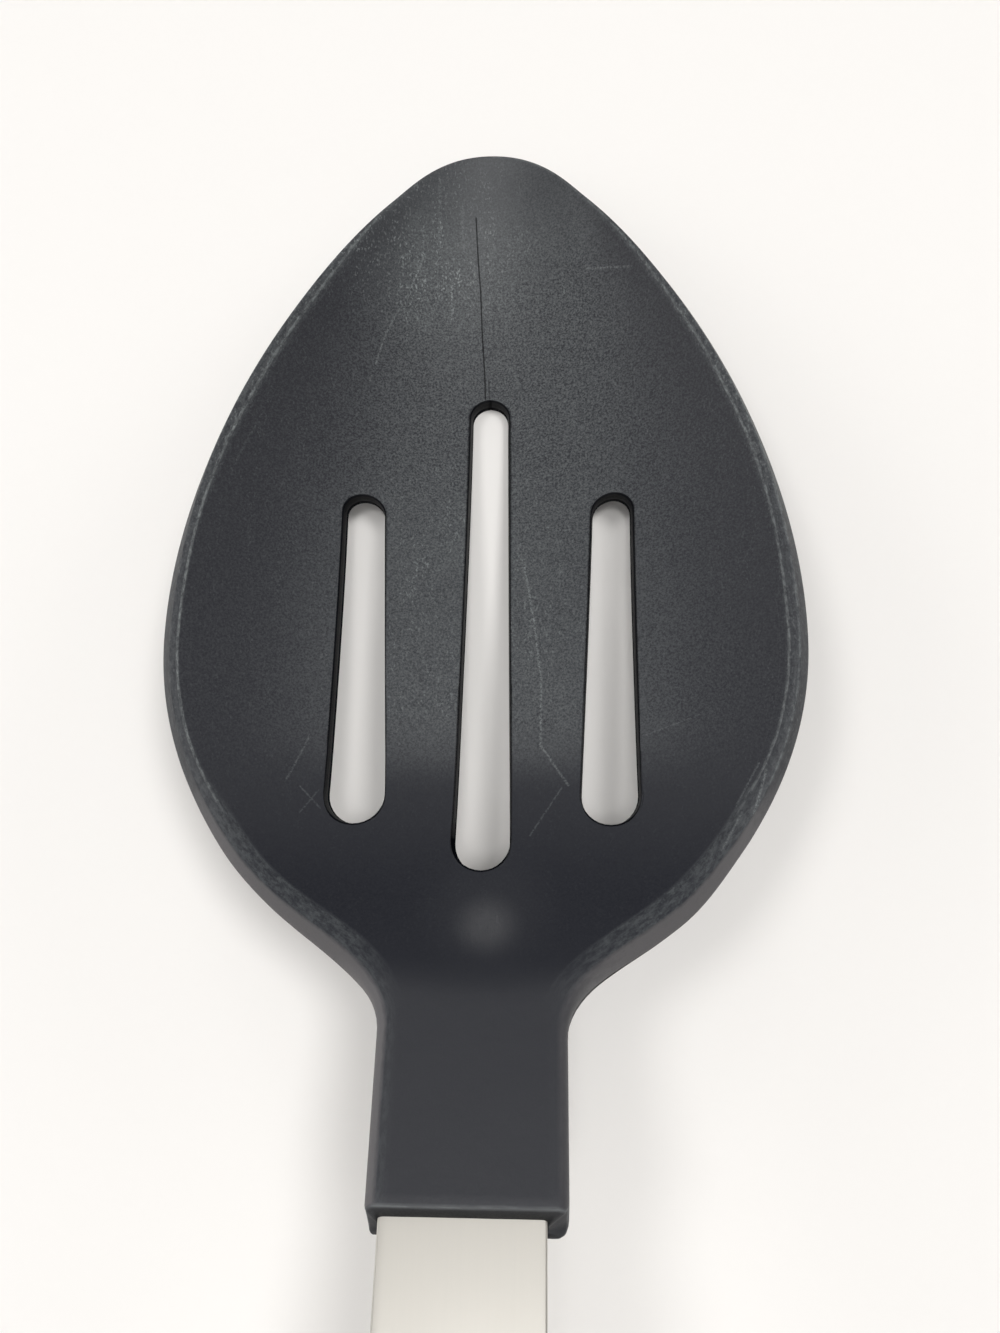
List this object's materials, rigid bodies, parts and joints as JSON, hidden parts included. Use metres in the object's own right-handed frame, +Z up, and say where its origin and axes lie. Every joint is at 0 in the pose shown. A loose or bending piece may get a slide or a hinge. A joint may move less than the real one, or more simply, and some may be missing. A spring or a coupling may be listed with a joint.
{
  "type": "slotted serving spoon",
  "caption": "Slotted serving spoon with an egg-shaped nylon bowl, a flat socketed neck and an arched flat steel handle with a hanging hole.",
  "frame": {"origin": "on the table, under the middle of the spoon's length and width, as it rests with its bowl up", "axes": "+Y from the handle's far end to the bowl's tip, +Z up from the table, +X to the right when seen from above with the tip up"},
  "size_m": [0.0706, 0.3178, 0.0345],
  "materials": {
    "nylon": "fine matte moulded grain, worn",
    "strip_steel": "satin stainless steel",
    "pin_steel": "plain ground steel"
  },
  "bodies": {
    "root": {"slotted_head": "nylon", "handle_strip": "strip_steel", "lock_pin_front": "pin_steel", "lock_pin_rear": "pin_steel"}
  },
  "joints": []
}
